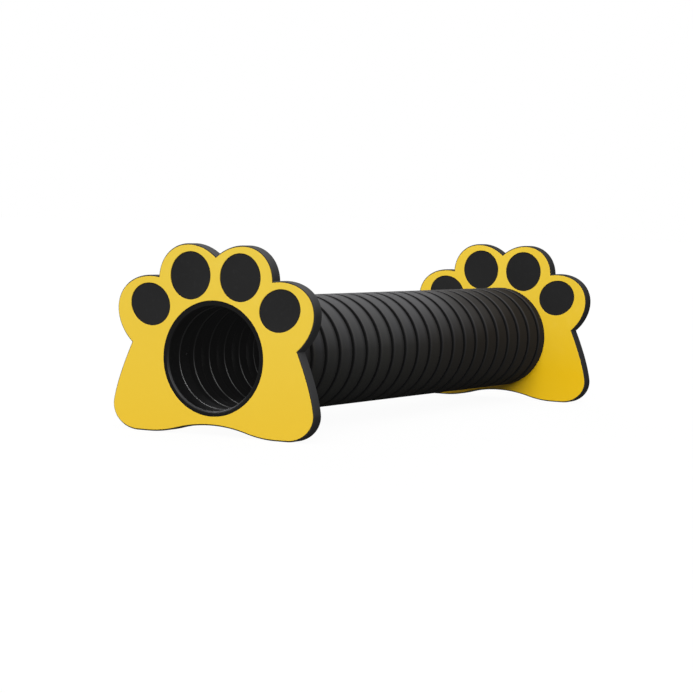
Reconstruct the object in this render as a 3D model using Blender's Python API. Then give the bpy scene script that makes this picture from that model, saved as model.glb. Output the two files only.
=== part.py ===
# Rigid crawl tunnel for a dog agility course: a corrugated plastic pipe held between two
# paw-shaped end boards.
# Metres, +Z up. The tunnel runs along Y, the origin is on the ground under its middle, and the
# near end is the one at -Y. The board's outline is given from the pipe's centre line.

import bpy
import bmesh
import math
from mathutils import Matrix, Vector

# Gap kept between pieces that touch
GAP = 0.0003

# Double-walled pipe: an outer wall of wide flat ribs with grooves between them, which rests with
# its grooves on a smooth liner
RIB_PITCH = 0.132
GROOVE_COUNT = 22
END_RIB_WIDTH = 0.082            # pipe end to the middle of the first groove
GROOVE_MOUTH_WIDTH = 0.032
GROOVE_FLOOR_WIDTH = 0.022
GROOVE_DEPTH = 0.0259
PIPE_WALL = 0.003
LINER_WALL = 0.0025
PIPE_SIDES = 24

# Entry collar: a flange on the board's face and a sleeve that reaches into the pipe
BORE_RADIUS = 0.228
SLEEVE_WALL = 0.004
SLEEVE_OVERRUN = 0.018           # past the middle of the first groove
FLANGE_WIDTH = 0.0237            # bore to the flange's rim
LIP_ROUND = 0.009
LIP_STEPS = 3
COLLAR_SIDES = 40

# End board: a black core between two yellow skins
BOARD_THICKNESS = 0.070
SKIN_THICKNESS = 0.004
SKIN_INSET = 0.006
EDGE_CHAMFER = 0.004

# Toe pads, cut out of the skins as ellipses: angle about the pipe, half axes and tilt
HOLE_TO_INNER_PAD = 0.0205
INNER_PAD_ANGLE = 70.6
INNER_PAD_HALF_WIDTH = 0.1020
INNER_PAD_HALF_HEIGHT = 0.1052
INNER_PAD_TILT = 0.0
HOLE_TO_OUTER_PAD = 0.0400
OUTER_PAD_ANGLE = 34.3
OUTER_PAD_HALF_WIDTH = 0.1028
OUTER_PAD_HALF_HEIGHT = 0.0922
OUTER_PAD_TILT = 22.0
PAD_POINTS = 16

# Toes: ellipses round the pads, each placed from its pad's centre
INNER_TOE_SHIFT = (-0.0229, -0.0504)
INNER_TOE_HALF_LENGTH = 0.2043
INNER_TOE_HALF_WIDTH = 0.1706
INNER_TOE_TILT = 47.6
OUTER_TOE_SHIFT = (-0.0469, -0.0587)
OUTER_TOE_HALF_LENGTH = 0.2283
OUTER_TOE_HALF_WIDTH = 0.1744
OUTER_TOE_TILT = 27.0
TOE_POINTS = 13
WAIST_ANGLE = -71.0              # where the outer toe ends, about its own centre

# Feet: rounded corners with a short flat under each, and a low arch between them
HOLE_TO_ARCH = 0.0397
ARCH_RISE = 0.0444
FOOT_OUTSET = 0.1240             # hole's edge to the foot's centre, sideways
FOOT_HALF_WIDTH = 0.1328
FOOT_HALF_HEIGHT = 0.1131
FOOT_FLAT_LENGTH = 0.056
FOOT_TOP_ANGLE = 8.0
FOOT_POINTS = 8
SIDE_LEAN = 0.45                 # sideways run per height where the side meets the waist
SIDE_POINTS = 5
ARCH_SHARE = 0.55                # share of the half span that the hollow arc takes
ARCH_POINTS = 9

# Radial fasteners at each end: button-head screw, washer and nut, size M6
SCREW_ANGLES = (0.0, 90.0, 180.0, 270.0)
SHANK_RADIUS = 0.003
HEAD_RADIUS = 0.00525
HEAD_HEIGHT = 0.0033
HEAD_RIM_HEIGHT = 0.0010
SOCKET_ACROSS_FLATS = 0.004
SOCKET_DEPTH = 0.0020
SHANK_BEYOND_NUT = 0.002
SHANK_END_CHAMFER = 0.0006
WASHER_RADIUS = 0.006
WASHER_THICKNESS = 0.0012
NUT_ACROSS_FLATS = 0.010
NUT_HEIGHT = 0.005
NUT_CHAMFER = 0.0006
FASTENER_SIDES = 12

# Radii and lengths that follow from the sizes above
SLEEVE_OUTER_RADIUS = BORE_RADIUS + SLEEVE_WALL
SLEEVE_HOLE_RADIUS = SLEEVE_OUTER_RADIUS + GAP
LINER_RADIUS = SLEEVE_OUTER_RADIUS + GAP
LINER_OUTER_RADIUS = LINER_RADIUS + LINER_WALL
RIDGE_RADIUS = LINER_OUTER_RADIUS + GAP
FLOOR_RADIUS = RIDGE_RADIUS + PIPE_WALL
CREST_RADIUS = FLOOR_RADIUS + GROOVE_DEPTH
FLANGE_RADIUS = BORE_RADIUS + FLANGE_WIDTH
SKIN_HOLE_RADIUS = FLANGE_RADIUS + GAP
PIPE_LENGTH = (GROOVE_COUNT - 1) * RIB_PITCH + 2 * END_RIB_WIDTH
AXIS_HEIGHT = SKIN_HOLE_RADIUS + HOLE_TO_ARCH + ARCH_RISE
SCREW_HOLE_RADIUS = SHANK_RADIUS + GAP

COLOURS = {
    "yellow_skin": ((0.80, 0.56, 0.045, 1.0), 0.38, 0.0),
    "black_core": ((0.020, 0.021, 0.023, 1.0), 0.50, 0.0),
    "black_collar": ((0.014, 0.015, 0.016, 1.0), 0.35, 0.0),
    "black_pipe": ((0.018, 0.019, 0.020, 1.0), 0.42, 0.0),
    "black_steel": ((0.030, 0.030, 0.032, 1.0), 0.40, 0.9),
}


def material(name):
    colour, roughness, metallic = COLOURS[name]
    made = bpy.data.materials.new(name)
    made.use_nodes = True
    made.diffuse_color = colour
    shader = made.node_tree.nodes["Principled BSDF"]
    shader.inputs["Base Color"].default_value = colour
    shader.inputs["Roughness"].default_value = roughness
    shader.inputs["Metallic"].default_value = metallic
    return made


def polar(radius, degrees):
    angle = math.radians(degrees)
    return radius * math.cos(angle), radius * math.sin(angle)


# Ellipses: (centre x, centre z, half length, half width, tilt)

def ellipse_point(ellipse, degrees):
    cx, cz, half_length, half_width, tilt = ellipse
    along = half_length * math.cos(math.radians(degrees))
    across = half_width * math.sin(math.radians(degrees))
    turn = math.radians(tilt)
    x = cx + along * math.cos(turn) - across * math.sin(turn)
    z = cz + along * math.sin(turn) + across * math.cos(turn)
    return x, z


def ellipse_angle(ellipse, point):
    # The ellipse's own angle for a point, and how far out the point lies (1 is on the ellipse)
    cx, cz, half_length, half_width, tilt = ellipse
    turn = math.radians(tilt)
    dx, dz = point[0] - cx, point[1] - cz
    along = (dx * math.cos(turn) + dz * math.sin(turn)) / half_length
    across = (dz * math.cos(turn) - dx * math.sin(turn)) / half_width
    return math.degrees(math.atan2(across, along)), math.hypot(along, across)


def ellipse_arc(ellipse, start, end, points):
    step = (end - start) / points
    return [ellipse_point(ellipse, start + step * i) for i in range(points + 1)]


def crossing(test, low, high):
    # Angle between low and high where test changes sign
    for _ in range(50):
        middle = (low + high) / 2
        if test(low) * test(middle) <= 0:
            high = middle
        else:
            low = middle
    return (low + high) / 2


def pad(angle, web, half_width, half_height, tilt):
    # A pad ellipse whose edge stays one web away from the skin's hole
    towards_hole = math.radians(angle - tilt)
    reach = math.hypot(half_width * math.cos(towards_hole), half_height * math.sin(towards_hole))
    x, z = polar(SKIN_HOLE_RADIUS + web + reach, angle)
    return x, z, half_width, half_height, tilt


def mirrored(ellipse):
    cx, cz, half_length, half_width, tilt = ellipse
    return -cx, cz, half_length, half_width, -tilt


INNER_PAD = pad(INNER_PAD_ANGLE, HOLE_TO_INNER_PAD, INNER_PAD_HALF_WIDTH, INNER_PAD_HALF_HEIGHT,
                INNER_PAD_TILT)
OUTER_PAD = pad(OUTER_PAD_ANGLE, HOLE_TO_OUTER_PAD, OUTER_PAD_HALF_WIDTH, OUTER_PAD_HALF_HEIGHT,
                OUTER_PAD_TILT)
INNER_TOE = (INNER_PAD[0] + INNER_TOE_SHIFT[0], INNER_PAD[1] + INNER_TOE_SHIFT[1],
             INNER_TOE_HALF_LENGTH, INNER_TOE_HALF_WIDTH, INNER_TOE_TILT)
OUTER_TOE = (OUTER_PAD[0] + OUTER_TOE_SHIFT[0], OUTER_PAD[1] + OUTER_TOE_SHIFT[1],
             OUTER_TOE_HALF_LENGTH, OUTER_TOE_HALF_WIDTH, OUTER_TOE_TILT)
FOOT = (SKIN_HOLE_RADIUS + FOOT_OUTSET, FOOT_HALF_HEIGHT - AXIS_HEIGHT,
        FOOT_HALF_WIDTH, FOOT_HALF_HEIGHT, 0.0)


# The board's outline, seen from outside, counter-clockwise from the middle of the arch

def arch_half():
    # Two arcs that meet with one slope: hollow over the middle, full towards the foot
    span = FOOT[0] - FOOT_FLAT_LENGTH
    hollow = span * ARCH_SHARE
    slope = 2 * ARCH_RISE / span
    points = []
    for i in range(ARCH_POINTS + 1):
        x = span * i / ARCH_POINTS
        if x <= hollow:
            drop = slope * x * x / (2 * hollow)
        else:
            drop = ARCH_RISE - slope * (span - x) ** 2 / (2 * (span - hollow))
        points.append((x, ARCH_RISE - AXIS_HEIGHT - drop))
    return points


def side_curve(foot_end, waist):
    # A flare that leaves the foot along its curve and reaches the waist at its own lean
    foot_turn = math.radians(FOOT_TOP_ANGLE)
    foot_lean = FOOT_HALF_WIDTH * math.sin(foot_turn) / (FOOT_HALF_HEIGHT * math.cos(foot_turn))
    rise = waist[1] - foot_end[1]
    inward = foot_end[0] - waist[0]
    below_waist = (inward - foot_lean * rise) / (SIDE_LEAN - foot_lean)
    bend = Vector((waist[0] + SIDE_LEAN * below_waist, waist[1] - below_waist))
    points = []
    for i in range(1, SIDE_POINTS):
        t = i / SIDE_POINTS
        p = (1 - t) ** 2 * Vector(foot_end) + 2 * t * (1 - t) * bend + t * t * Vector(waist)
        points.append((p.x, p.y))
    return points


def board_outline():
    inner_end = crossing(lambda a: ellipse_point(INNER_TOE, a)[0], 0.0, 170.0)
    inner_start = crossing(lambda a: ellipse_angle(OUTER_TOE, ellipse_point(INNER_TOE, a))[1] - 1,
                           -80.0, 20.0)
    notch = ellipse_point(INNER_TOE, inner_start)
    outer_end = ellipse_angle(OUTER_TOE, notch)[0]

    half = arch_half()
    foot = ellipse_arc(FOOT, -90.0, FOOT_TOP_ANGLE, FOOT_POINTS)
    outer_toe = ellipse_arc(OUTER_TOE, WAIST_ANGLE, outer_end, TOE_POINTS)
    inner_toe = ellipse_arc(INNER_TOE, inner_start, inner_end, TOE_POINTS)
    half += foot + side_curve(foot[-1], outer_toe[0]) + outer_toe + inner_toe[1:]
    half[0] = (0.0, half[0][1])
    half[-1] = (0.0, half[-1][1])
    return half + [(-x, z) for x, z in reversed(half[1:-1])]


def inset(loop, distance):
    # The same outline moved inwards, with mitred corners
    moved = []
    for i, point in enumerate(loop):
        before = (Vector(point) - Vector(loop[i - 1])).normalized()
        after = (Vector(loop[(i + 1) % len(loop)]) - Vector(point)).normalized()
        inward = Vector((-before.y - after.y, before.x + after.x)).normalized()
        shrink = distance / max(inward.dot(Vector((-before.y, before.x))), 0.3)
        moved.append((point[0] + inward.x * shrink, point[1] + inward.y * shrink))
    return moved


def circle(radius, sides):
    # Flats, not corners, face up, down and sideways, where the screws go through
    step = 360.0 / sides
    return [polar(radius, step * (i + 0.5)) for i in range(sides)]


def across_flats(radius, sides):
    # Corner radius of a ring whose flats touch the given radius
    return radius / math.cos(math.pi / sides)


# Solids

def finish(bm, name, material_name, sharp=30.0):
    bmesh.ops.recalc_face_normals(bm, faces=bm.faces)
    mesh = bpy.data.meshes.new(name)
    bm.to_mesh(mesh)
    bm.free()
    mesh.shade_smooth()
    mesh.set_sharp_from_angle(angle=math.radians(sharp))
    if material_name:
        mesh.materials.append(MATERIALS[material_name])
    return mesh


def ring_of(bm, loop, y):
    return [bm.verts.new((x, y, z)) for x, z in loop]


def bridge(bm, first, second):
    count = len(first)
    for i in range(count):
        j = (i + 1) % count
        bm.faces.new((first[i], first[j], second[j], second[i]))


def cap(bm, rings):
    edges = []
    for ring in rings:
        for i, vert in enumerate(ring):
            edges.append(bm.edges.get((vert, ring[(i + 1) % len(ring)])))
    bmesh.ops.triangle_fill(bm, use_beauty=True, use_dissolve=False, edges=edges)


def plate(name, material_name, layers, holes):
    # A flat board: outline layers from outside to inside as (loop, y), and straight holes
    bm = bmesh.new()
    rings = [ring_of(bm, loop, y) for loop, y in layers]
    for first, second in zip(rings, rings[1:]):
        bridge(bm, first, second)
    hole_starts = [ring_of(bm, loop, layers[0][1]) for loop in holes]
    hole_ends = [ring_of(bm, loop, layers[-1][1]) for loop in holes]
    for first, second in zip(hole_starts, hole_ends):
        bridge(bm, first, second)
    cap(bm, [rings[0]] + hole_starts)
    cap(bm, [rings[-1]] + hole_ends)
    return finish(bm, name, material_name)


def turned(name, material_name, profile, sides):
    # A closed profile of (radius, y) turned about the pipe's centre line
    bm = bmesh.new()
    rings = [ring_of(bm, circle(radius, sides), y) for radius, y in profile]
    for i, ring in enumerate(rings):
        bridge(bm, ring, rings[(i + 1) % len(rings)])
    return finish(bm, name, material_name)


def pipe_profile():
    # Outer wall from the near end to the far end, then the inner wall back
    outer_crest = CREST_RADIUS
    inner_crest = CREST_RADIUS - PIPE_WALL
    floor = across_flats(FLOOR_RADIUS, PIPE_SIDES)
    ridge = across_flats(RIDGE_RADIUS, PIPE_SIDES)
    mouth_half = GROOVE_MOUTH_WIDTH / 2
    floor_half = GROOVE_FLOOR_WIDTH / 2
    lean = math.atan2(mouth_half - floor_half, GROOVE_DEPTH)
    wall_along = PIPE_WALL / math.cos(lean)
    start = -PIPE_LENGTH / 2
    centres = [start + END_RIB_WIDTH + RIB_PITCH * i for i in range(GROOVE_COUNT)]
    outer = [(outer_crest, start)]
    inner = [(inner_crest, start)]
    for y in centres:
        outer += [(outer_crest, y - mouth_half), (floor, y - floor_half),
                  (floor, y + floor_half), (outer_crest, y + mouth_half)]
        inner += [(inner_crest, y - mouth_half - wall_along), (ridge, y - floor_half - wall_along),
                  (ridge, y + floor_half + wall_along), (inner_crest, y + mouth_half + wall_along)]
    outer.append((outer_crest, -start))
    inner.append((inner_crest, -start))
    return outer + inner[::-1]


def liner_profile():
    inner = across_flats(LINER_RADIUS, PIPE_SIDES)
    outer = across_flats(LINER_OUTER_RADIUS, PIPE_SIDES)
    end = PIPE_LENGTH / 2
    return [(outer, -end), (outer, end), (inner, end), (inner, -end)]


def collar_profile():
    # Sleeve tip, bore, rounded lip, flange face, flange rim, back of the flange, outer sleeve
    face = -BOARD_THICKNESS
    back = face + SKIN_THICKNESS - GAP
    tip = GAP + END_RIB_WIDTH + SLEEVE_OVERRUN
    tip_chamfer = SLEEVE_WALL / 4
    profile = [(BORE_RADIUS, tip)]
    for i in range(LIP_STEPS + 1):
        angle = math.pi / 2 * i / LIP_STEPS
        radius = BORE_RADIUS + LIP_ROUND * (1 - math.cos(angle))
        profile.append((radius, face + LIP_ROUND * (1 - math.sin(angle))))
    profile += [(FLANGE_RADIUS, face), (FLANGE_RADIUS, back), (SLEEVE_OUTER_RADIUS, back),
                (SLEEVE_OUTER_RADIUS, tip - tip_chamfer), (SLEEVE_OUTER_RADIUS - tip_chamfer, tip)]
    return profile


def core_board():
    outline = board_outline()
    outer = SKIN_THICKNESS - BOARD_THICKNESS
    inner = -SKIN_THICKNESS
    eased = inset(outline, EDGE_CHAMFER)
    layers = [(eased, outer), (outline, outer + EDGE_CHAMFER),
              (outline, inner - EDGE_CHAMFER), (eased, inner)]
    return plate("core_board", "black_core", layers, [circle(SLEEVE_HOLE_RADIUS, COLLAR_SIDES)])


def skin(name, outside, inside, hole_radius):
    outline = inset(board_outline(), SKIN_INSET)
    holes = [circle(hole_radius, COLLAR_SIDES)]
    for shape in (INNER_PAD, OUTER_PAD, mirrored(INNER_PAD), mirrored(OUTER_PAD)):
        holes.append(ellipse_arc(shape, 0.0, 360.0, PAD_POINTS)[:-1])
    return plate(name, "yellow_skin", [(outline, outside), (outline, inside)], holes)


# Fasteners stand on their own +Z, which is turned to point away from the centre line

def hexagon(across, sides):
    # A hexagon with as many points as the round part beside it
    points = []
    for i in range(sides):
        degrees = 360.0 * i / sides
        off_flat = math.radians((degrees + 30.0) % 60.0 - 30.0)
        points.append(polar(across / 2 / math.cos(off_flat), degrees))
    return points


def round_loop(radius):
    return [polar(radius, 360.0 * i / FASTENER_SIDES) for i in range(FASTENER_SIDES)]


def stacked(name, material_name, loops, closed):
    # Loops of (loop, z) joined in order: closed joins the last to the first, else both are capped
    bm = bmesh.new()
    rings = [[bm.verts.new((x, y, z)) for x, y in loop] for loop, z in loops]
    for first, second in zip(rings, rings[1:]):
        bridge(bm, first, second)
    if closed:
        bridge(bm, rings[-1], rings[0])
    else:
        bm.faces.new(rings[0])
        bm.faces.new(rings[-1])
    return finish(bm, name, material_name)


STACK_HEIGHT = (SLEEVE_WALL + GAP + LINER_WALL + GAP + PIPE_WALL + GAP + WASHER_THICKNESS + GAP
                + NUT_HEIGHT)


def screw():
    # Underside of the head at z = 0, head towards the bore, shank outwards
    socket = hexagon(SOCKET_ACROSS_FLATS, FASTENER_SIDES)
    end = GAP + STACK_HEIGHT + SHANK_BEYOND_NUT
    dome = HEAD_HEIGHT - HEAD_RIM_HEIGHT
    loops = [(socket, SOCKET_DEPTH - HEAD_HEIGHT), (socket, -HEAD_HEIGHT)]
    for share in (0.7, 1.0):
        height = HEAD_RIM_HEIGHT + dome * math.sqrt(max(0.0, 1 - share * share))
        loops.append((round_loop(HEAD_RADIUS * share), -height))
    loops += [(round_loop(HEAD_RADIUS), 0.0), (round_loop(SHANK_RADIUS), 0.0),
              (round_loop(SHANK_RADIUS), end - SHANK_END_CHAMFER),
              (round_loop(SHANK_RADIUS - SHANK_END_CHAMFER), end)]
    return stacked("screw", "black_steel", loops, False)


def washer():
    hole = round_loop(SCREW_HOLE_RADIUS)
    rim = round_loop(WASHER_RADIUS)
    loops = [(hole, 0.0), (hole, WASHER_THICKNESS), (rim, WASHER_THICKNESS), (rim, 0.0)]
    return stacked("washer", "black_steel", loops, True)


def nut():
    hole = round_loop(SCREW_HOLE_RADIUS)
    sides = hexagon(NUT_ACROSS_FLATS, FASTENER_SIDES)
    crown = round_loop(NUT_ACROSS_FLATS / 2)
    loops = [(hole, 0.0), (hole, NUT_HEIGHT), (crown, NUT_HEIGHT),
             (sides, NUT_HEIGHT - NUT_CHAMFER), (sides, 0.0)]
    return stacked("nut", "black_steel", loops, True)


def screw_hole_cutters():
    # One short rod for each screw, through the sleeve, the liner and the pipe's first groove
    bm = bmesh.new()
    low = BORE_RADIUS - 2 * SLEEVE_WALL
    high = FLOOR_RADIUS + 2 * PIPE_WALL
    for degrees in SCREW_ANGLES:
        rings = []
        for height in (low, high):
            loop = round_loop(SCREW_HOLE_RADIUS)
            rings.append([bm.verts.new((x, y, height)) for x, y in loop])
            for vert in rings[-1]:
                vert.co = outward(degrees).to_3x3() @ vert.co
        bridge(bm, rings[0], rings[1])
        bm.faces.new(rings[0])
        bm.faces.new(rings[1])
    return finish(bm, "screw_holes", None)


def outward(degrees):
    # Turns +Z to the given angle about Y, where 0 is +X and 90 is up
    return Matrix.Rotation(math.radians(90.0 - degrees), 4, "Y")


def place(name, mesh, parent, location=(0.0, 0.0, 0.0), turn=None):
    made = bpy.data.objects.new(name, mesh)
    bpy.context.scene.collection.objects.link(made)
    made.parent = parent
    made.location = location
    if turn is not None:
        made.rotation_euler = turn.to_euler()
    return made


def end_frame(name, y, half_turn):
    # Sits on the centre line at the board's inner face; its -Y points out of the tunnel
    empty = place(name, None, None, (0.0, y, AXIS_HEIGHT))
    empty.rotation_euler = (0.0, 0.0, half_turn)
    return empty


def cut(target, cutter):
    modifier = target.modifiers.new("screw_holes", "BOOLEAN")
    modifier.operation = "DIFFERENCE"
    modifier.solver = "EXACT"
    modifier.object = cutter


def build():
    for existing in list(bpy.data.objects):
        bpy.data.objects.remove(existing, do_unlink=True)

    centre = place("tunnel_centre", None, None, (0.0, 0.0, AXIS_HEIGHT))
    pipe_mesh = turned("corrugated_pipe", "black_pipe", pipe_profile(), PIPE_SIDES)
    pipe = place("corrugated_pipe", pipe_mesh, centre)
    liner_mesh = turned("pipe_liner", "black_pipe", liner_profile(), PIPE_SIDES)
    liner = place("pipe_liner", liner_mesh, centre)

    core_mesh = core_board()
    outer_skin_mesh = skin("outer_skin", -BOARD_THICKNESS, SKIN_THICKNESS - BOARD_THICKNESS - GAP,
                           SKIN_HOLE_RADIUS)
    inner_skin_mesh = skin("inner_skin", GAP - SKIN_THICKNESS, 0.0, SLEEVE_HOLE_RADIUS)
    collar_mesh = turned("entry_collar", "black_collar", collar_profile(), COLLAR_SIDES)
    screw_mesh = screw()
    washer_mesh = washer()
    nut_mesh = nut()
    cutter_mesh = screw_hole_cutters()

    bore_flat = BORE_RADIUS * math.cos(math.pi / COLLAR_SIDES)
    screw_y = GAP + END_RIB_WIDTH
    washer_radius = FLOOR_RADIUS + GAP
    nut_radius = washer_radius + WASHER_THICKNESS + GAP
    seat = PIPE_LENGTH / 2 + GAP
    for side, y, half_turn in (("near", -seat, 0.0), ("far", seat, math.pi)):
        frame = end_frame(side + "_end", y, half_turn)
        place(side + "_core_board", core_mesh, frame)
        place(side + "_outer_skin", outer_skin_mesh, frame)
        place(side + "_inner_skin", inner_skin_mesh, frame)
        collar = place(side + "_entry_collar", collar_mesh, frame)
        cutter = place(side + "_screw_holes", cutter_mesh, frame, (0.0, screw_y, 0.0))
        cutter.hide_render = True
        cutter.display_type = "WIRE"
        cut(collar, cutter)
        cut(liner, cutter)
        cut(pipe, cutter)
        for number, degrees in enumerate(SCREW_ANGLES, 1):
            stack = (("collar_screw", screw_mesh, bore_flat - GAP),
                     ("washer", washer_mesh, washer_radius),
                     ("nut", nut_mesh, nut_radius))
            for piece, mesh, radius in stack:
                x, z = polar(radius, degrees)
                place(f"{side}_{piece}_{number}", mesh, frame, (x, screw_y, z), outward(degrees))


MATERIALS = {name: material(name) for name in COLOURS}
build()
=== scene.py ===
# Dog crawl tunnel: two paw-shaped boards, a ribbed pipe between them, and what holds them together.
import bpy
import bmesh
import math
from mathutils import Matrix, Vector


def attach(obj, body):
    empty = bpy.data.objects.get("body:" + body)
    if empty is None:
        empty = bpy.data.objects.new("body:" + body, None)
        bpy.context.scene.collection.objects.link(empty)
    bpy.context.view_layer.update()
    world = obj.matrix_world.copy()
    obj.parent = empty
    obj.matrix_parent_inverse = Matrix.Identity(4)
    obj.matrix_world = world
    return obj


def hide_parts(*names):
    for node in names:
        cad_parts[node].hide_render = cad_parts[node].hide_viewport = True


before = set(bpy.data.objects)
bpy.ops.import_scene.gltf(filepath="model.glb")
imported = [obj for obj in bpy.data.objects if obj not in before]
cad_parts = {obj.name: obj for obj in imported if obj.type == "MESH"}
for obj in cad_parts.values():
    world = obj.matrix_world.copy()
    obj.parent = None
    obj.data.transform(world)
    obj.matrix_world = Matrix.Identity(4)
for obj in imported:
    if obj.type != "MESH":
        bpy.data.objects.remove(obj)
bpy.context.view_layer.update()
scene = bpy.context.scene
print("Frame loaded:", len(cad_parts), "nodes")

seatGap = 0.0003                # between pieces that touch
smallest = 1e-7                 # lengths below this count as none
ribPitch = 0.132                # from groove to groove of the pipe


def dress(piece, node):
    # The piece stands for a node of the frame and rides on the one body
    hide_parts(node)
    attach(piece, "root")


def placeObject(name, mesh):
    made = bpy.data.objects.new(name, mesh)
    scene.collection.objects.link(made)
    return made


def onCircle(radius, degrees):
    angle = math.radians(degrees)
    return radius * math.cos(angle), radius * math.sin(angle)


def circleLoop(radius, sides):
    return [onCircle(radius, 360.0 * i / sides) for i in range(sides)]


# Profiles and outlines

corner = {
    "edgeShare": 0.48,          # the most of an edge that one corner's arc may take
    "flatFrom": 1.03,           # where the straight stretch gets its point, in arc lengths
    "sharpAbove": 35.0,         # two faces that meet at more degrees than this have a hard edge
    "insetShare": 0.3,          # the least share of a corner's own reach that an inset uses
}


def roundedCorners(points, radii, steps):
    # Each corner of a closed line becomes an arc of its radius. One more point on each side of
    # the arc keeps the straight stretch beyond it flat in the light.
    smooth = []
    for i, (point, radius) in enumerate(zip(points, radii)):
        if radius <= 0:
            smooth.append(point)
            continue
        tip = Vector(point)
        back = Vector(points[i - 1]) - tip
        ahead = Vector(points[(i + 1) % len(points)]) - tip
        halfAngle = back.angle(ahead) / 2
        longest = corner["edgeShare"] * min(back.length, ahead.length)
        reach = min(radius / math.tan(halfAngle), longest)
        radius = reach * math.tan(halfAngle)
        bisector = (back.normalized() + ahead.normalized()).normalized()
        centre = tip + bisector * (radius / math.sin(halfAngle))
        start = tip + back.normalized() * reach - centre
        end = tip + ahead.normalized() * reach - centre
        startAngle = math.atan2(start.y, start.x)
        sweep = math.atan2(end.y, end.x) - startAngle
        sweep = (sweep + math.pi) % (2 * math.pi) - math.pi
        smooth.append(tuple(tip + back.normalized() * reach * corner["flatFrom"]))
        for step in range(steps + 1):
            angle = startAngle + sweep * step / steps
            x = centre.x + radius * math.cos(angle)
            y = centre.y + radius * math.sin(angle)
            smooth.append((x, y))
        smooth.append(tuple(tip + ahead.normalized() * reach * corner["flatFrom"]))
    return smooth


def smoothMesh(bm, name, sharpAbove=corner["sharpAbove"]):
    # Smooth faces with hard edges only where two faces meet steeply
    bmesh.ops.recalc_face_normals(bm, faces=bm.faces)
    for face in bm.faces:
        face.smooth = True
    for edge in bm.edges:
        if edge.smooth and len(edge.link_faces) == 2:
            edge.smooth = edge.calc_face_angle() < math.radians(sharpAbove)
    mesh = bpy.data.meshes.new(name)
    bm.to_mesh(mesh)
    bm.free()
    return mesh


def joinRings(bm, first, second):
    made = []
    for i in range(len(first)):
        j = (i + 1) % len(first)
        made.append(bm.faces.new((first[i], first[j], second[j], second[i])))
    return made


def turnedMesh(name, profile, sides):
    # A closed profile of (radius, y) turned about the tunnel's centre line
    bm = bmesh.new()
    rings = []
    for radius, y in profile:
        rings.append([bm.verts.new((x, y, z)) for x, z in circleLoop(radius, sides)])
    for i, ring in enumerate(rings):
        joinRings(bm, ring, rings[(i + 1) % len(rings)])
    return smoothMesh(bm, name)


# Materials

def newMaterial(name):
    made = bpy.data.materials.new(name)
    made.use_nodes = True
    return made, made.node_tree.nodes, made.node_tree.links


def objectNoise(nodes, links, scale, detail, stretch=(1.0, 1.0, 1.0)):
    # Noise in the object's own metres, so the grain keeps its real size
    coords = nodes.new("ShaderNodeTexCoord")
    mapping = nodes.new("ShaderNodeMapping")
    mapping.inputs["Scale"].default_value = stretch
    noise = nodes.new("ShaderNodeTexNoise")
    noise.inputs["Scale"].default_value = scale
    noise.inputs["Detail"].default_value = detail
    links.new(coords.outputs["Object"], mapping.inputs["Vector"])
    links.new(mapping.outputs["Vector"], noise.inputs["Vector"])
    return noise.outputs["Fac"]


def calculate(nodes, links, operation, *values):
    node = nodes.new("ShaderNodeMath")
    node.operation = operation
    for socket, value in zip(node.inputs, values):
        if isinstance(value, float):
            socket.default_value = value
        else:
            links.new(value, socket)
    return node.outputs["Value"]


# What a look can fade along, in the object's own metres: Y or Z, "slant" for the length less a
# multiple of the height, "rib" for the share of a rib's pitch past a groove, "radius" for the
# distance from the tunnel's centre line, "up" for how much a face looks up, and "upRight" for up
# and a little to +X

places = {
    "slantFrom": 0.34,          # below this height the slant stands upright
    "slantLean": -3.5,          # and above it, metres of length for each metre of height
    "rightShare": 0.45,
}


def objectPlace(nodes, links, along):
    coords = nodes.new("ShaderNodeTexCoord")
    split = nodes.new("ShaderNodeSeparateXYZ")
    source = "Normal" if along in ("up", "upRight") else "Object"
    links.new(coords.outputs[source], split.inputs["Vector"])
    x, y, z = (split.outputs[axis] for axis in ("X", "Y", "Z"))
    if along == "Y":
        return y
    if along in ("Z", "up"):
        return z
    if along == "upRight":
        return calculate(nodes, links, "MULTIPLY_ADD", x, places["rightShare"], z)
    if along == "slant":
        upper = calculate(nodes, links, "MAXIMUM", z, places["slantFrom"])
        return calculate(nodes, links, "MULTIPLY_ADD", upper, places["slantLean"], y)
    if along == "rib":
        pitches = calculate(nodes, links, "MULTIPLY_ADD", y, 1 / ribPitch, 0.5)
        return calculate(nodes, links, "FRACT", pitches)
    height = calculate(nodes, links, "SUBTRACT", z, axisHeight)
    across = calculate(nodes, links, "POWER", x, 2.0)
    square = calculate(nodes, links, "MULTIPLY_ADD", height, height, across)
    return calculate(nodes, links, "SQRT", square)


def remap(nodes, links, value, fromLow, fromHigh, toLow, toHigh):
    node = nodes.new("ShaderNodeMapRange")
    node.inputs["From Min"].default_value = fromLow
    node.inputs["From Max"].default_value = fromHigh
    node.inputs["To Min"].default_value = toLow
    node.inputs["To Max"].default_value = toHigh
    links.new(value, node.inputs["Value"])
    return node.outputs["Result"]


def mixColours(nodes, links, factor, first, second):
    node = nodes.new("ShaderNodeMix")
    node.data_type = "RGBA"
    links.new(factor, node.inputs["Factor"])
    for socket, colour in ((node.inputs["A"], first), (node.inputs["B"], second)):
        if isinstance(colour, tuple):
            socket.default_value = (*colour, 1.0)
        else:
            links.new(colour, socket)
    return node.outputs["Result"]


def addBump(nodes, links, height, strength, distance, under=None):
    bump = nodes.new("ShaderNodeBump")
    bump.inputs["Strength"].default_value = strength
    bump.inputs["Distance"].default_value = distance
    links.new(height, bump.inputs["Height"])
    if under is not None:
        links.new(under, bump.inputs["Normal"])
    return bump.outputs["Normal"]


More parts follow.
